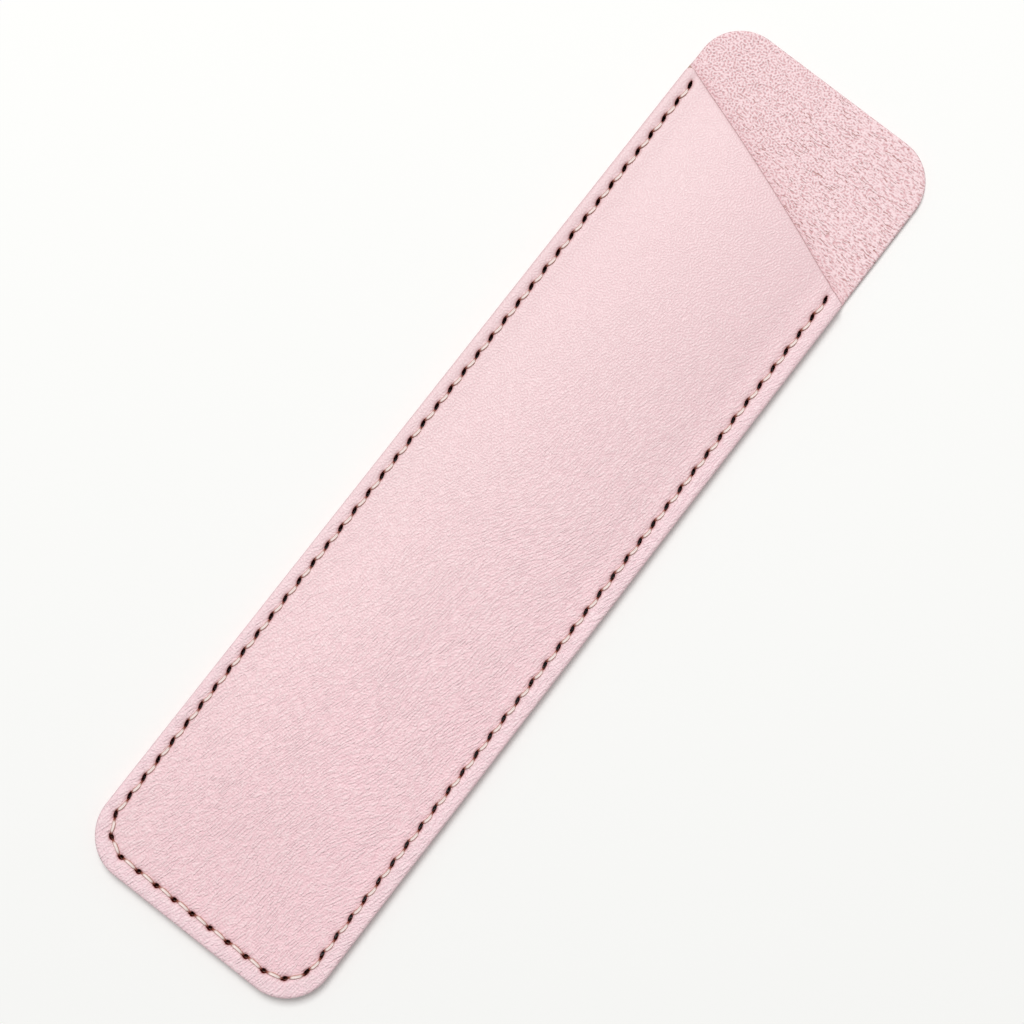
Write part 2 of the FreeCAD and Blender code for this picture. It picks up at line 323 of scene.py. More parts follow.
def finish_mesh(name, vertices, faces, sharp_above):
    """Mesh object from millimetre points and faces, shaded smooth except at edges over an angle."""
    mesh = bpy.data.meshes.new(name)
    mesh.from_pydata((vertices * MM).tolist(), [], faces)
    mesh.polygons.foreach_set("use_smooth", np.ones(len(mesh.polygons), bool))
    mesh.set_sharp_from_angle(angle=math.radians(sharp_above))
    mesh.update()
    piece = bpy.data.objects.new(name, mesh)
    bpy.context.collection.objects.link(piece)
    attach(piece, "root")
    return piece


def walls(loop, count):
    """Faces from the upper copy of a closed loop to the lower one, facing right of its direction."""
    ahead = np.roll(loop, -1, -1)
    return np.stack([loop + count, ahead + count, ahead, loop], -1).reshape(-1, 4)


def store_on_faces(piece, name, values):
    """Attribute with one value for each point of the pattern, the same on both faces of a panel."""
    store = piece.data.attributes.new(name, "FLOAT", "POINT")
    store.data.foreach_set("value", np.concatenate([values, values]))


def make_panel(name, pattern, upper, lower):
    """Closed panel whose face groups are 0 upper, 1 lower, 2 outer walls and 3 slit walls."""
    points, triangles, edge_loop, slit_loops, outline = pattern
    count = len(points)
    vertices = np.concatenate([np.column_stack([points, upper]), np.column_stack([points, lower])])
    under = triangles[:, ::-1] + count
    edge_walls = walls(edge_loop, count)
    slit_walls = walls(slit_loops, count)[:, ::-1]
    faces = triangles.tolist() + under.tolist() + edge_walls.tolist() + slit_walls.tolist()
    piece = finish_mesh(name, vertices, faces, PANEL_SHARP)
    sizes = [len(triangles), len(under), len(edge_walls), len(slit_walls)]
    piece.data.polygons.foreach_set("material_index", np.repeat(np.arange(len(sizes)), sizes))
    store_on_faces(piece, "slit_shade", np.exp(-np.maximum(hole_gap(points), 0) / SLIT_SHADE_WIDTH))
    store_on_faces(piece, "rim", np.exp(-(edge_inset(points, outline) / RIM_WIDTH) ** 2))
    print(f"{name}: {count} points on each face, {len(faces)} faces")
    return piece


# %% [markdown]
# ## The front panel
# The margins lie level on the glue. Over the pocket the leather stands off in a low crown, which the
# light shows as a faint change of tone across the width. The stitches pull a soft valley into the
# margin and a dimple at each hole, and the cut edge is rubbed round.

# %% Heights of the front panel
FRONT_EDGE_ROUND = 0.62
VALLEY_WIDTH = 0.48
DIMPLE_DEPTH = 0.09
DIMPLE_WIDTH = 0.25
MOUTH_LINE_WIDTH = 0.19    # fade of the brown line along the mouth
MARGIN_FADE = (0.3, -0.9)  # where the margin's painted light starts and is full, inward from the stitches


def crown_height(points):
    """Rise of the front over the pocket.

    Across the width it is a hollow arc beside each margin and one long crest arc between, all meeting
    at a tangent. Along the length it eases up from the bottom seam and then stays.
    """
    start = SEAM_X[0] + BOND_INSIDE
    half = (SEAM_X[1] - BOND_INSIDE - start) / 2
    slope = 2 * math.atan(CROWN / half)
    crest_radius = half / math.sin(slope) - CROWN_SHOULDER
    from_middle = np.abs(points[:, 0] - start - half)
    crest = CROWN - crest_radius + np.sqrt(crest_radius ** 2 - np.minimum(from_middle, half) ** 2)
    from_margin = np.clip(half - from_middle, 0, CROWN_SHOULDER)
    shoulder = CROWN_SHOULDER - np.sqrt(CROWN_SHOULDER ** 2 - from_margin ** 2)
    across = np.where(from_middle < crest_radius * math.sin(slope), crest, shoulder)
    pocket_end = SEAM_Y + BOND_INSIDE
    return across * smooth_step(points[:, 1], pocket_end, pocket_end + CROWN_RUN)


def edge_drop(inset, radius):
    """Fall of a face towards a rounded edge: a quarter circle of the given radius."""
    within = np.clip(radius - inset, 0, radius)
    return radius - np.sqrt(radius ** 2 - within ** 2)


def stitch_pull(points):
    """Depth to which the stitches draw the front in: a valley along the seam and a dimple at each hole."""
    valley = FRONT_GROOVE * np.exp(-(seam_inset(points) / VALLEY_WIDTH) ** 2)
    dimple = DIMPLE_DEPTH * np.exp(-(np.maximum(hole_gap(points), 0) / DIMPLE_WIDTH) ** 2)
    return valley + dimple


front_corners = [(LEFT, mouth_y(LEFT)), (LEFT, BOTTOM), (RIGHT, BOTTOM), (RIGHT, mouth_y(RIGHT))]
front_pattern = cut_pattern(front_corners, [MOUTH_RADIUS, CORNER_RADIUS, CORNER_RADIUS, MOUTH_RADIUS])
front_points, front_outline = front_pattern[0], front_pattern[4]
front_lower = MARGIN_BOTTOM + crown_height(front_points)
front_upper = MARGIN_TOP + crown_height(front_points) - stitch_pull(front_points)
front_upper -= edge_drop(edge_inset(front_points, front_outline), FRONT_EDGE_ROUND)
front_leather = make_panel("front_leather", front_pattern, front_upper, front_lower)
store_on_faces(front_leather, "mouth_line", np.exp(-(mouth_inset(front_points) / MOUTH_LINE_WIDTH) ** 2))
# the margin share sets where painted light makes the front paler
store_on_faces(front_leather, "margin", smooth_step(seam_inset(front_points), *MARGIN_FADE))
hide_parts("front_panel")

# %% [markdown]
# ## The back panel
# The back panel is flat. Its suede face looks up, and shows on the tab and inside the mouth. Its grain
# face lies on the table, with a channel that takes the stitches flush. Where the front panel covers it,
# the upper edge stays square, because the two edges were rubbed down together as one.

# %% Heights of the back panel
BACK_EDGE_ROUND = 0.5
CHANNEL_FLOOR = 0.8        # half width of the channel's level floor
CHANNEL_RIM = 1.15         # half width where its sides run out
CHANNEL_END = (0.3, 0.9)   # below the mouth, where it ends and where it is full
TAB_ROUND = (-0.2, 1.0)    # above the mouth, where the upper edge starts to be round and where it is
MOUTH_SHADE_WIDTH = 1.0      # fade of the painted shade on the suede above the mouth

back_corners = [(LEFT, TOP), (LEFT, BOTTOM), (RIGHT, BOTTOM), (RIGHT, TOP)]
back_pattern = cut_pattern(back_corners, [CORNER_RADIUS] * 4)
back_points, back_outline = back_pattern[0], back_pattern[4]
back_round = edge_drop(edge_inset(back_points, back_outline), BACK_EDGE_ROUND)
below_mouth = mouth_inset(back_points)
channel = 1 - smooth_step(np.abs(seam_inset(back_points)), CHANNEL_FLOOR, CHANNEL_RIM)
channel *= smooth_step(below_mouth, *CHANNEL_END)
back_upper = LEATHER - back_round * smooth_step(-below_mouth, *TAB_ROUND)
back_lower = FLOOR + back_round + BACK_GROOVE * channel
back_leather = make_panel("back_leather", back_pattern, back_upper, back_lower)
# painted shade on the suede along the mouth, full below it inside the pocket
store_on_faces(back_leather, "painted_mouth_shade", np.exp(-np.maximum(-below_mouth, 0) / MOUTH_SHADE_WIDTH))
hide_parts("back_panel")

# %% [markdown]
# ## The flat cuts
# Both panels are sheets: each was cut flat from a hide and then laid in its place. The cut's area is the
# shoelace sum over its outline, which adds up the triangles between the origin and each piece of edge.

def cut_area(outline):
    """Area inside a closed outline, in square metres, by the shoelace sum."""
    x, y = outline[0].T
    twice = x * np.roll(y, -1) - np.roll(x, -1) * y
    return abs(twice.sum()) / 2 * MM ** 2


print(f"cuts of {cut_area(back_outline) * 1e4:.1f} and {cut_area(front_outline) * 1e4:.1f} square cm")

# %% [markdown]
# ## The thread
# A saddle stitch is sewn with a needle at each end of one thread. Both needles go through every hole, so
# each strand is on the front for one stitch and on the back for the next. A stitch rises out of one
# hole, lies along the leather and dives into the next, which is the upper half of a superellipse; on
# the back it is the lower half. The halves meet upright inside the leather, so each strand is one smooth
# path. The thread itself is two plies, each a round profile carried along that path.

# %% Paths of the two strands
STITCH_STEPS = 22
STITCH_SQUARENESS = 2.6    # exponent of the superellipse: 2 is an ellipse, more is flatter on top
STITCH_BULGE = 0.2         # how far a front stitch bows to the right, or upward along the bottom
PLY_RADIUS = THREAD * 0.31
PLY_SPREAD = THREAD * 0.2  # from the strand's middle to a ply in the middle of a stitch
PLY_CLOSED = THREAD * 0.1  # the same inside a hole
PLY_SIDES = 8
STITCH_CLEAR = 0.04        # valley to the underside of a front stitch
THREAD_BOTTOM = node_box("stitching_thread")[0][2]
FRONT_STITCH_Z = MARGIN_TOP - FRONT_GROOVE + PLY_RADIUS + STITCH_CLEAR
BACK_STITCH_Z = THREAD_BOTTOM + THREAD / 2
MIDDLE_Z = (FRONT_STITCH_Z + BACK_STITCH_Z) / 2
BACK_SWING = 0.45          # how far a back stitch swings aside to pass the other strand

near_end = hole_middle - slit_reach[:, None] * slit_long
far_end = hole_middle + slit_reach[:, None] * slit_long
stitch_inward = (hole_inward[:-1] + hole_inward[1:]) / 2
sweep = np.linspace(math.pi, 0, STITCH_STEPS, endpoint=False)
run_share = (1 + np.sign(np.cos(sweep)) * np.abs(np.cos(sweep)) ** (2 / STITCH_SQUARENESS)) / 2
lift_share = np.abs(np.sin(sweep)) ** (2 / STITCH_SQUARENESS)


def stitch_paths(starts, ends, level, swing, bulge):
    """Points of every stitch on one face, as an array of stitch, step and coordinate.

    The run goes from start to end. It swings aside in one full wave, and bows out in one half wave to
    the right, or upward where the seam runs across. The height goes from the middle of the leather to
    the level of the stitch and back.
    """
    run = starts[:, None, :] + run_share[:, None] * (ends - starts)[:, None, :]
    aside = swing * np.sin(2 * math.pi * run_share)
    run = run - aside[:, None] * stitch_inward[:, None, :]
    bow = bulge * np.sin(math.pi * run_share)
    run = run + bow[:, None] * np.abs(stitch_inward)[:, None, :]
    height = MIDDLE_Z + (level - MIDDLE_Z) * lift_share
    height = np.broadcast_to(height, run.shape[:2])
    return np.concatenate([run, height[..., None]], -1)


front_stitches = stitch_paths(far_end[:-1], near_end[1:], FRONT_STITCH_Z, 0.0, STITCH_BULGE)
back_stitches = stitch_paths(near_end[:-1], far_end[1:], BACK_STITCH_Z, BACK_SWING, 0.0)
in_front = (np.arange(hole_count - 1) % 2 == 0)[:, None, None]
first_strand = np.where(in_front, front_stitches, back_stitches)
second_strand = np.where(in_front, back_stitches, front_stitches)
print(f"{hole_count - 1} stitches on each face")

# %% The thread's mesh
SUNK_SHADE_FADE = (0.1, 0.9)     # depth below the face where the painted shade on the thread starts and where it is full
DIVE_SHADE_FADE = (0.2, 0.55)    # from a stitch's end to its middle, where the painted brown shade fades and where it is gone
FLANK_SHADE_FADE = (0.45, 0.9)   # share of the half width where painted shade turns the sides brown
THREAD_SHARP = 60.0        # degrees above which an edge is shaded sharp


def ply_tube(path, aside, phase):
    """Rings of one ply round a strand's path, and how far aside of the path each point of them lies.

    The ply's centre circles the path, wider in the middle of a stitch than in a hole, and its ring
    stands square to the path. The distance aside is a share of the strand's half width.
    """
    forward = np.gradient(path, axis=0)
    forward /= np.linalg.norm(forward, axis=1)[:, None]
    over = np.cross(forward, aside)
    over /= np.linalg.norm(over, axis=1)[:, None]
    level = np.cross(over, forward)
    offset = np.cos(phase)[:, None] * level + np.sin(phase)[:, None] * over
    spread = np.tile(PLY_CLOSED + (PLY_SPREAD - PLY_CLOSED) * lift_share ** 2, hole_count - 1)
    centre = path + spread[:, None] * offset
    angle = np.linspace(0, 2 * math.pi, PLY_SIDES, endpoint=False)
    ring = np.cos(angle)[:, None] * level[:, None, :] + np.sin(angle)[:, None] * over[:, None, :]
    sideways = (spread * np.cos(phase))[:, None] + PLY_RADIUS * np.cos(angle)
    return centre[:, None, :] + PLY_RADIUS * ring, np.abs(sideways) / (PLY_SPREAD + PLY_RADIUS)


def tube_faces(steps, first):
    """Side faces and the two end caps of a tube of rings, counted from its first vertex."""
    ring = first + np.arange(steps)[:, None] * PLY_SIDES + np.arange(PLY_SIDES)
    ahead = np.roll(ring, -1, 1)
    sides = np.stack([ring[:-1], ahead[:-1], ahead[1:], ring[1:]], -1).reshape(-1, 4)
    return sides.tolist() + [ring[0, ::-1].tolist(), ring[-1].tolist()]


strand_aside = np.repeat(stitch_inward, STITCH_STEPS, 0)
strand_aside = np.column_stack([strand_aside, np.zeros(len(strand_aside))])
half_turn = np.tile(math.pi / 2 - sweep, hole_count - 1)
turns = half_turn + np.repeat(np.arange(hole_count - 1), STITCH_STEPS) * math.pi
end_share = np.tile(2 * np.minimum(run_share, 1 - run_share), hole_count - 1)
rings, aside_share, depth, thread_faces = [], [], [], []
for strand in (first_strand, second_strand):
    path = strand.reshape(-1, 3)
    below_face = np.minimum(FRONT_STITCH_Z - path[:, 2], path[:, 2] - BACK_STITCH_Z)
    for ply_phase in (0.0, math.pi):
        tube, sideways = ply_tube(path, strand_aside, turns + ply_phase)
        thread_faces += tube_faces(len(tube), sum(ring.size for ring in rings) // 3)
        rings.append(tube)
        aside_share.append(sideways.ravel())
        depth.append(np.repeat(below_face, PLY_SIDES))
thread_points = np.concatenate([ring.reshape(-1, 3) for ring in rings])
saddle_thread = finish_mesh("saddle_thread", thread_points, thread_faces, THREAD_SHARP)
# painted shade on the thread: brown sides, brown dives and near black inside the leather
thread_painted_shades = {
    "painted_sunk_shade": smooth_step(np.concatenate(depth), *SUNK_SHADE_FADE),
    "painted_dive_shade": np.tile(np.repeat(1 - smooth_step(end_share, *DIVE_SHADE_FADE), PLY_SIDES), len(rings)),
    "painted_flank_shade": smooth_step(np.concatenate(aside_share), *FLANK_SHADE_FADE),
}
for tone, values in thread_painted_shades.items():
    saddle_thread.data.attributes.new(tone, "FLOAT", "POINT").data.foreach_set("value", values)
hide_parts("stitching_thread")
print(f"thread: {len(thread_points)} points, {len(thread_faces)} faces")

# %% [markdown]
# ## Finishes
# Every finish is procedural and reads Object coordinates, turned into millimetres, so that a grain of
# half a millimetre is written as 0.5. A small helper adds a node and plugs in numbers or other nodes, and
# the other helpers use it, each for one job: a pattern, a ramp, a colour or a bump.

# %% Helpers for node trees
PLAIN_SPECULAR = 0.5       # the shader's usual specular level


def new_finish(name, roughness, specular=PLAIN_SPECULAR):
    """Material with a Principled shader of a roughness and a specular level, its tree and the shader."""
    material = bpy.data.materials.new(name)
    material.use_nodes = True
    tree = material.node_tree
    shader = tree.nodes["Principled BSDF"]
    shader.inputs["Roughness"].default_value = roughness
    shader.inputs["Specular IOR Level"].default_value = specular
    return material, tree, shader


def add_node(tree, kind, inputs, **settings):
    """Node of a kind with its settings, and inputs that are plain values or other nodes' sockets."""
    node = tree.nodes.new(kind)
    for key, value in settings.items():
        setattr(node, key, value)
    for key, value in inputs.items():
        if isinstance(value, bpy.types.NodeSocket):
            tree.links.new(value, node.inputs[key])
        else:
            node.inputs[key].default_value = value
    return node


def math_node(tree, operation, *values):
    """Output of a Math node."""
    return add_node(tree, "ShaderNodeMath", dict(enumerate(values)), operation=operation).outputs[0]


def millimetres(tree):
    """Object coordinates in millimetres."""
    place = tree.nodes.new("ShaderNodeTexCoord").outputs["Object"]
    scaled = add_node(tree, "ShaderNodeVectorMath", {0: place, "Scale": 1 / MM}, operation="SCALE")
    return scaled.outputs[0]


def bent(tree, place, wave_length, amount):
    """Place pushed about by soft noise of a wave length, so that a pattern meanders."""
    noise = add_node(tree, "ShaderNodeTexNoise", {"Vector": place, "Scale": 1 / wave_length, "Detail": 1.0})
    centred = add_node(tree, "ShaderNodeVectorMath", {0: noise.outputs["Color"], 1: (0.5, 0.5, 0.5)},
                       operation="SUBTRACT").outputs[0]
    pushed = add_node(tree, "ShaderNodeVectorMath", {0: centred, 1: (amount, amount, amount), 2: place},
                      operation="MULTIPLY_ADD")
    return pushed.outputs[0]


def stretched(tree, place, angle, size):
    """Place turned and divided so that a unit pattern becomes size wide and long, along an angle."""
    return add_node(tree, "ShaderNodeMapping", {"Vector": place, "Rotation": (0, 0, angle), "Scale": size},
                    vector_type="TEXTURE").outputs[0]


def noise_at(tree, place, scale, detail):
    """Noise value from 0 to 1."""
    inputs = {"Vector": place, "Scale": scale, "Detail": detail}
    return add_node(tree, "ShaderNodeTexNoise", inputs).outputs["Fac"]


def waves_at(tree, place, length, count):
    """Ripples of one length in all directions, from 0 to 1, in trains of about count waves."""
    inputs = {"Vector": place, "Scale": 1 / (length * count), "Frequency": count, "Anisotropy": 0.0}
    return add_node(tree, "ShaderNodeTexGabor", inputs).outputs["Value"]


def attribute(tree, name):
    """Value that a piece stores at its points under a name."""
    return add_node(tree, "ShaderNodeAttribute", {}, attribute_name=name).outputs["Fac"]


def ramp_between(tree, value, start, end, low=0.0, high=1.0):
    """Value mapped from start and end to low and high with a soft step, and clamped."""
    inputs = {"Value": value, "From Min": start, "From Max": end, "To Min": low, "To Max": high}
    return add_node(tree, "ShaderNodeMapRange", inputs, interpolation_type="SMOOTHSTEP").outputs[0]


def mixed(tree, share, first, second):
    """Colour between two colours."""
    node = add_node(tree, "ShaderNodeMix", {}, data_type="RGBA")
    sockets = {"Factor": share, "A": first, "B": second}
    for socket in node.inputs:
        value = sockets.get(socket.name) if socket.enabled else None
        if isinstance(value, bpy.types.NodeSocket):
            tree.links.new(value, socket)
        elif value is not None:
            socket.default_value = value
    return next(socket for socket in node.outputs if socket.enabled)


def tinted(tree, colour, tints):
    """Colour moved towards each tint in turn, by its share times its strength."""
    for share, strength, tint in tints:
        amount = math_node(tree, "MULTIPLY", share, strength)
        colour = mixed(tree, amount, colour, (*tint, 1))
    return colour


def coloured(tree, shader, colour):
    """Shader that shows a colour pattern."""
    tree.links.new(colour, shader.inputs["Base Color"])


def raised(tree, shader, height, unit):
    """Shader that is bumped by a height pattern, in units of so many millimetres."""
    bump = add_node(tree, "ShaderNodeBump", {"Height": height, "Distance": unit * MM, "Strength": 1.0})
    tree.links.new(bump.outputs[0], shader.inputs["Normal"])


# %% [markdown]
# ### Grain leather
# The smooth side has a fine grain: ripples about half a millimetre long, in all directions. Handling has
# drawn it out into wrinkles that lean to the right, weak at the upper left and clear at the lower right.
# Plain noise has large blotches beside its fine grain, and leather has not, so the ripples are Gabor noise,
# which keeps to one wave length. A wrinkle is a long thin crease between two flat stretches. Such lines are
# where longer ripples, stretched along the lean, pass their middle value.

# %% Relief of the grain
GRAIN_LENGTH = 0.48        # ridge to ridge
GRAIN_STRETCH = (1.0, 4.8, 1.0)
GRAIN_DEPTH = 0.06         # hollow to ridge
CREASE_LENGTH = 0.9        # a whole ripple, which has two creases
CREASE_STRETCH = (1.0, 5.0, 1.0)
CREASE_REACH = 0.05        # share of the ripple's range between a crease's line and its rim
CREASE_DEPTH = 0.04
WRINKLE_LEAN = math.radians(-17)
WANDER = (30.0, 8.0)       # wave length and reach of the slow change in the wrinkles' lean
EVEN_BEND = (1.2, 0.2)     # the same of the small bends in the even grain,
DRAWN_BEND = (1.2, 0.3)    # in the drawn-out grain
CREASE_BEND = (1.2, 0.5)   # and in the creases
EVEN_TRAIN = 1.6           # waves in a train of the even grain,
DRAWN_TRAIN = 1.1          # of the drawn-out grain
CREASE_TRAIN = 1.5         # and of the creases
RIPPLE_RANGE = (0.32, 0.68)
EVEN_RELIEF = (-0.32, 0.32)
DRAWN_RELIEF = (-0.36, 0.36)


def wrinkling(tree, across, along):
    """Share of the wrinkles: it grows to the right and, half as fast, towards the bottom."""
    downward = math_node(tree, "MULTIPLY", along, -0.011)
    towards = math_node(tree, "MULTIPLY_ADD", across, 0.022, downward)
    return ramp_between(tree, towards, -0.8, 0.45, 0.15, 1.0)


def grain_relief(tree, place, wander, drawn):
    """Even ripples, plus drawn-out ones by the share of the wrinkles."""
    even = waves_at(tree, bent(tree, place, *EVEN_BEND), GRAIN_LENGTH, EVEN_TRAIN)
    longer = bent(tree, stretched(tree, wander, WRINKLE_LEAN, GRAIN_STRETCH), *DRAWN_BEND)
    drawn_out = waves_at(tree, longer, GRAIN_LENGTH, DRAWN_TRAIN)
    even = ramp_between(tree, even, *RIPPLE_RANGE, *EVEN_RELIEF)
    drawn_out = ramp_between(tree, drawn_out, *RIPPLE_RANGE, *DRAWN_RELIEF)
    return math_node(tree, "MULTIPLY_ADD", drawn_out, drawn, even)


def crease_lines(tree, wander, drawn):
    """1 where a long ripple passes its middle value and 0 beside it, by the share of the wrinkles."""
    creased = stretched(tree, bent(tree, wander, *CREASE_BEND), WRINKLE_LEAN, CREASE_STRETCH)
    fold = waves_at(tree, creased, CREASE_LENGTH, CREASE_TRAIN)
    from_line = math_node(tree, "ABSOLUTE", math_node(tree, "SUBTRACT", fold, 0.5))
    return math_node(tree, "MULTIPLY", ramp_between(tree, from_line, CREASE_REACH, 0.0), drawn)


# %% [markdown]
# The light does most of the drawing, and painted light helps a little: a painted highlight makes the
# ridges paler, and painted shade makes the hollows and creases rosier. The dye is uneven too: rosier
# towards the bottom and greyer towards the mouth. To the right it is rosier, partly from the dye and partly
# from painted shade where the crown turns from the light, while the right half gets a little painted light
# against the crown's shade. The margin is paler with painted light, most to the right and low down. The
# leather is darker along the cut edges, and painted shade darkens it round the holes.

# %% Dye and finish of the grain
PALE_DYE = (0.912, 0.698, 0.705, 1)
ROSY_DYE = (0.957, 0.644, 0.684, 1)
BLOTCH_SIZE = 12.0
EDGE_TINT = (0.45, 0.28, 0.29)
EDGE_STRENGTH = 0.5
GRAIN_ROUGHNESS = 0.4
GRAIN_SPECULAR = 0.4


def rosy_share(tree, place, across, along, margin):
    """Share of the rosy dye: blotches, plus more low down, more to the right, which is partly dye and partly
    painted shade, and less of it in the margin, which is painted light.
    """
    blotch = math_node(tree, "MULTIPLY_ADD", noise_at(tree, place, 1 / BLOTCH_SIZE, 3.0), 0.5, 0.25)
    # more rosy to the right: partly uneven dye, partly painted shade where the crown turns from the light
    to_right = math_node(tree, "MULTIPLY_ADD", across, 0.012, blotch)
    rosy = math_node(tree, "ADD", to_right, ramp_between(tree, along, 20.0, -85.0, 0.0, 0.42))
    # less rosy dye in the margin, which is painted light
    return math_node(tree, "MULTIPLY", rosy, ramp_between(tree, margin, 0.0, 1.0, 1.0, 0.25))


def grain_leather():
    """Grain side: ripples and creases as bump, deeper low down, and the dye with its tints, some of which are
    painted light and shade.
    """
    material, tree, shader = new_finish("grain_leather", GRAIN_ROUGHNESS, GRAIN_SPECULAR)
    place = millimetres(tree)
    axes = add_node(tree, "ShaderNodeSeparateXYZ", {0: place})
    across, along = axes.outputs["X"], axes.outputs["Y"]
    wander = bent(tree, place, *WANDER)
    drawn = wrinkling(tree, across, along)
    relief = grain_relief(tree, place, wander, drawn)
    crease = crease_lines(tree, wander, drawn)
    worn = ramp_between(tree, along, 65.0, -75.0, 0.9, 1.35)
    height = math_node(tree, "MULTIPLY", math_node(tree, "MULTIPLY", relief, worn), GRAIN_DEPTH)
    raised(tree, shader, math_node(tree, "MULTIPLY_ADD", crease, -CREASE_DEPTH, height), 1.0)
    margin = attribute(tree, "margin")
    toward_mouth = ramp_between(tree, along, -45.0, 45.0)
    # painted light that evens out the crown's shade on the right half
    right_painted_light = ramp_between(tree, across, -6.0, 10.0)
    ridge = ramp_between(tree, relief, 0.0, 0.4)
    hollow = ramp_between(tree, relief, 0.0, -0.5)
    dye = mixed(tree, rosy_share(tree, place, across, along, margin), PALE_DYE, ROSY_DYE)
    tints = [
        (toward_mouth, 0.46, (0.73, 0.51, 0.53)),
        # painted light that makes the margin paler, most to the right and low down
        (math_node(tree, "MULTIPLY", margin, drawn), 0.4, (1.0, 0.72, 0.80)),
        (right_painted_light, 0.1, (1.0, 0.78, 0.80)),
        # painted highlight on the ridges, painted shade in the hollows and creases
        (ridge, 0.36, (0.98, 0.82, 0.82)),
        (hollow, 0.12, (0.84, 0.42, 0.49)),
        (crease, 0.1, (0.86, 0.42, 0.49)),
        # painted shade round the holes
        (attribute(tree, "slit_shade"), 0.7, (0.38, 0.05, 0.035)),
        (attribute(tree, "rim"), EDGE_STRENGTH, EDGE_TINT),
        (attribute(tree, "mouth_line"), 0.9, (0.25, 0.09, 0.08)),
    ]
    coloured(tree, shader, tinted(tree, dye, tints))
    return material


# %% [markdown]
# ### Suede
# The flesh side is a nap of short fibres. It is curled almost everywhere, and swept across the width in
# patches towards the right, so it too is a blend of even and stretched ripples, loosened by some
# plain noise. Here and there the nap parts in a thin brown dash, which is the highest crests of a noise
# that is stretched further. Along the mouth, and below it inside the pocket, the suede is darkened with
# painted shade.

# %% Suede
NAP_LENGTH = 0.52          # ridge to ridge
NAP_TRAIN = 1.3            # waves in a train
NAP_BEND = (1.0, 0.3)      # wave length and reach of its small bends
NAP_DEPTH = 0.35
SWEPT_STRETCH = (3.0, 0.9, 0.9)
PATCH_SIZE = 7.0
LOOSE_SIZE = (0.36, 0.3, 0.3)
LOOSE_SHARE = 0.35
DASH_SIZE = (2.2, 0.16, 0.16)
DASH_BEND = (1.6, 1.0)
DASH_DEPTH = 0.05
NAP_DARK = (0.74, 0.43, 0.45, 1)
NAP_PALE = (0.98, 0.76, 0.78, 1)


def blend(tree, share, first, second):
    """First plus a share of the difference to the second."""
    difference = math_node(tree, "SUBTRACT", second, first)
    return math_node(tree, "MULTIPLY_ADD", share, difference, first)


def suede_leather():
    """Flesh side: curled or swept ripples and loose noise, as bump and tone, with brown dashes."""
    material, tree, shader = new_finish("suede_leather", 0.95, 0.1)
    shader.inputs["Sheen Weight"].default_value = 0.15
    place = millimetres(tree)
    across = add_node(tree, "ShaderNodeSeparateXYZ", {0: place}).outputs["X"]
    wander = bent(tree, place, *NAP_BEND)
    curled = waves_at(tree, wander, NAP_LENGTH, NAP_TRAIN)
    swept = waves_at(tree, stretched(tree, wander, 0.0, SWEPT_STRETCH), NAP_LENGTH, NAP_TRAIN)
    patch = math_node(tree, "MULTIPLY_ADD", noise_at(tree, place, 1 / PATCH_SIZE, 1.0), 40.0, across)
    lies = ramp_between(tree, patch, 8.0, 38.0, 0.0, 0.65)
    loose = noise_at(tree, stretched(tree, wander, 0.0, LOOSE_SIZE), 1.0, 0.5)
    nap = blend(tree, LOOSE_SHARE, blend(tree, lies, curled, swept), loose)
    dashes = stretched(tree, bent(tree, place, *DASH_BEND), 0.0, DASH_SIZE)
    crest = ramp_between(tree, noise_at(tree, dashes, 1.0, 0.5), 0.65, 0.73)
    dash = math_node(tree, "MULTIPLY", crest, ramp_between(tree, lies, 0.0, 0.3, 0.4, 1.0))
    height = math_node(tree, "MULTIPLY", nap, NAP_DEPTH)
    raised(tree, shader, math_node(tree, "MULTIPLY_ADD", dash, -DASH_DEPTH, height), 1.0)
    tone = mixed(tree, ramp_between(tree, nap, 0.36, 0.56), NAP_DARK, NAP_PALE)
    tints = [
        # painted shade along the mouth
        (attribute(tree, "painted_mouth_shade"), 0.4, (0.70, 0.42, 0.46)),
        (dash, 0.7, (0.44, 0.16, 0.12)),
        (attribute(tree, "rim"), EDGE_STRENGTH, EDGE_TINT),
    ]
    coloured(tree, shader, tinted(tree, tone, tints))
    return material


# %% [markdown]
# ### Cut edges, holes, thread and cement
# A cut edge shows the fibres of the hide in fine layers. Inside a slit the walls are near-black browns,
# which is painted shade. The thread is waxed and cream, and painted shade makes it browner on its sides and
# where it dives into a hole. The cement shows only as a hairline between the two edges.

# %% Small finishes
LAYER_SIZE = (1.2, 1.2, 0.12)
LAYER_DEPTH = 0.06
SHADE_MOTTLE_SIZE = 1 / 3.0
FIBRE_SIZE = 0.16
FIBRE_DEPTH = 0.03
STREAK_SIZE = 0.8


def cut_edge():
    """Cut edge: noise that is long in the plane of the hide and thin across it, as tone and bump."""
    material, tree, shader = new_finish("cut_edge", 0.7)
    layers = noise_at(tree, stretched(tree, millimetres(tree), 0.0, LAYER_SIZE), 1.0, 3.0)
    coloured(tree, shader, mixed(tree, layers, (0.50, 0.29, 0.30, 1), (0.84, 0.62, 0.62, 1)))
    raised(tree, shader, layers, LAYER_DEPTH)
    return material


def slit_wall():
    """Wall of a slit: noise between two near-black browns, which is painted shade inside the hole."""
    material, tree, shader = new_finish("slit_wall", 0.9, 0.0)
    # painted shade: the inside of a slit in near-black browns
    shade_mottle = noise_at(tree, millimetres(tree), 1 / SHADE_MOTTLE_SIZE, 2.0)
    coloured(tree, shader, mixed(tree, shade_mottle, (0.11, 0.012, 0.008, 1), (0.23, 0.03, 0.02, 1)))
    return material


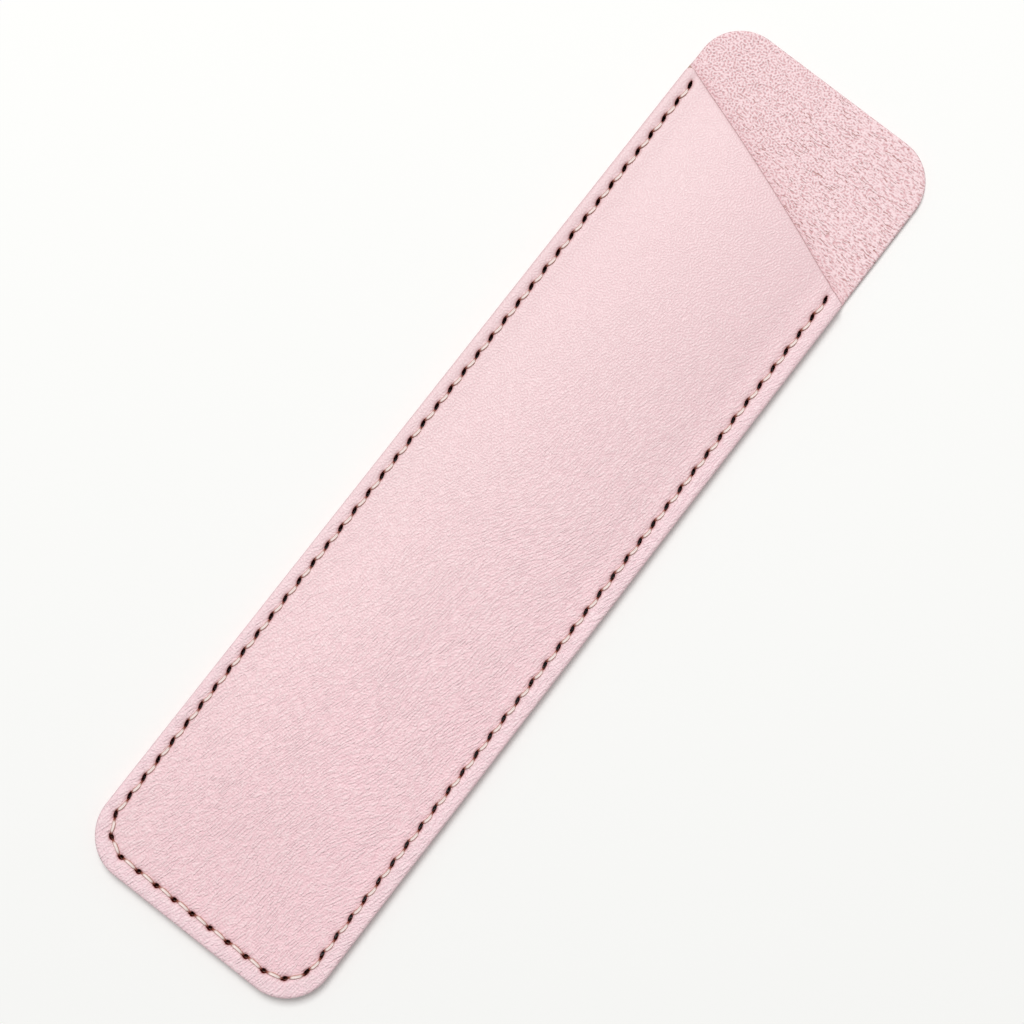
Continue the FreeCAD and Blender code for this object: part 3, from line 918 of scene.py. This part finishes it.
def waxed_thread():
    """Thread: fibrous cream, with painted shade that turns it brown on its flanks, in its dives and inside a
    hole.
    """
    material, tree, shader = new_finish("waxed_thread", 0.6, 0.1)
    fibre = noise_at(tree, millimetres(tree), 1 / FIBRE_SIZE, 2.0)
    cream = mixed(tree, fibre, (0.87, 0.69, 0.65, 1), (0.97, 0.88, 0.85, 1))
    tints = [
        # painted shade on the flanks, in the dives and inside a hole
        (attribute(tree, "painted_flank_shade"), 0.9, (0.45, 0.20, 0.14)),
        (attribute(tree, "painted_dive_shade"), 1.0, (0.33, 0.095, 0.06)),
        (attribute(tree, "painted_sunk_shade"), 1.0, (0.055, 0.011, 0.007)),
    ]
    coloured(tree, shader, tinted(tree, cream, tints))
    raised(tree, shader, fibre, FIBRE_DEPTH)
    return material


def dried_cement():
    """Cement: noise between two ambers."""
    material, tree, shader = new_finish("dried_cement", 0.45)
    streak = noise_at(tree, millimetres(tree), 1 / STREAK_SIZE, 3.0)
    coloured(tree, shader, mixed(tree, streak, (0.30, 0.16, 0.12, 1), (0.46, 0.28, 0.22, 1)))
    return material


# %% [markdown]
# ### Who wears what
# `make_panel` numbered a panel's faces as upper, lower, outer walls and slit walls, and the finishes are
# added in that order. The front wears its grain on top and the back wears its suede there. The cement is the
# model's own piece, so only its material changes.

# %% Put the finishes on
grain, suede, edge_finish, slit_finish = grain_leather(), suede_leather(), cut_edge(), slit_wall()
for finish in (grain, suede, edge_finish, slit_finish):
    front_leather.data.materials.append(finish)
for finish in (suede, grain, edge_finish, slit_finish):
    back_leather.data.materials.append(finish)
saddle_thread.data.materials.append(waxed_thread())
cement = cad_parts["seam_adhesive"]
cement.data.materials.clear()
cement.data.materials.append(dried_cement())
print("finishes:", sorted(material.name for material in bpy.data.materials))

# %% [markdown]
# ## Floor, light and camera
# The photograph is a plain product shot: a white sweep, one broad soft light from the top left and
# pale fill all round. Far from the sleeve the floor fades into the white of the background, so that no
# horizon shows from a low place. The camera looks down, and the sleeve leans to the right in the frame.

# %% Stage
FLOOR_HALF = 1.5
FLOOR_WHITE = (0.965, 0.966, 0.948, 1)
SWEEP_WHITE = (0.955, 0.956, 0.938, 1)
FLOOR_FADE = (160.0, 600.0)  # distance where the floor starts to turn into the sweep, and where it has
FILL = 0.41                # level of the light from all round
KEY_PLACE = (-0.48, 0.52, 1.32)
KEY_SIZE = 0.65
KEY_POWER = 15.6


def lay_floor():
    """Square floor that is matte near the sleeve and glows in the sweep's white far from it."""
    material, tree, shader = new_finish("pale_floor", 0.9, 0.0)
    shader.inputs["Base Color"].default_value = FLOOR_WHITE
    distance = add_node(tree, "ShaderNodeVectorMath", {0: millimetres(tree)}, operation="LENGTH")
    fade = ramp_between(tree, distance.outputs["Value"], *FLOOR_FADE)
    glow = add_node(tree, "ShaderNodeEmission", {"Color": SWEEP_WHITE})
    far = add_node(tree, "ShaderNodeMixShader", {0: fade, 1: shader.outputs[0], 2: glow.outputs[0]})
    tree.links.new(far.outputs[0], tree.nodes["Material Output"].inputs["Surface"])
    mesh = bpy.data.meshes.new("floor")
    corners = [(-FLOOR_HALF, -FLOOR_HALF, 0), (FLOOR_HALF, -FLOOR_HALF, 0),
               (FLOOR_HALF, FLOOR_HALF, 0), (-FLOOR_HALF, FLOOR_HALF, 0)]
    mesh.from_pydata(corners, [], [(0, 1, 2, 3)])
    mesh.materials.append(material)
    sweep_floor = bpy.data.objects.new("floor", mesh)
    bpy.context.collection.objects.link(sweep_floor)


def soft_light(name, place, size, power):
    """Square lamp at a place in metres that faces the sleeve."""
    lamp = bpy.data.lights.new(name, "AREA")
    lamp.shape = "SQUARE"
    lamp.size = size
    lamp.energy = power
    holder = bpy.data.objects.new(name, lamp)
    holder.location = place
    holder.rotation_mode = "QUATERNION"
    holder.rotation_quaternion = (-Vector(place)).to_track_quat("-Z", "Y")
    bpy.context.collection.objects.link(holder)


lay_floor()
soft_light("key_light", KEY_PLACE, KEY_SIZE, KEY_POWER)
sky = bpy.data.worlds.new("sky")
sky.use_nodes = True
seen = sky.node_tree.nodes.new("ShaderNodeLightPath").outputs["Is Camera Ray"]
white = mixed(sky.node_tree, seen, (FILL, FILL, FILL, 1), SWEEP_WHITE)
sky.node_tree.links.new(white, sky.node_tree.nodes["Background"].inputs["Color"])
bpy.context.scene.world = sky
bpy.context.scene.view_settings.view_transform = "Standard"
print(f"key light of {KEY_POWER} W, {Vector(KEY_PLACE).length:.2f} m away")

# %% Camera
CAMERA_PLACE = Vector((7.5, -18.19, 217.73)) * MM
CAMERA_AIM = Vector((0.13, -2.42, 1.6)) * MM
CAMERA_LEAN = math.radians(37.78)
CAMERA_LENS = 50.0
CAMERA_SENSOR = 36.0
NEAREST_SEEN = 0.01        # metres

forward = (CAMERA_AIM - CAMERA_PLACE).normalized()
lean = Vector((-math.sin(CAMERA_LEAN), math.cos(CAMERA_LEAN), 0))
right = forward.cross(lean).normalized()
upward = right.cross(forward)
turned = Matrix((right, upward, -forward)).transposed()
camera = bpy.data.objects.new("camera", bpy.data.cameras.new("camera"))
camera.data.lens = CAMERA_LENS
camera.data.sensor_width = CAMERA_SENSOR
camera.data.clip_start = NEAREST_SEEN
camera.matrix_world = Matrix.Translation(CAMERA_PLACE) @ turned.to_4x4()
bpy.context.collection.objects.link(camera)
bpy.context.scene.camera = camera
print(f"camera {CAMERA_PLACE.z / MM:.0f} mm above the floor")
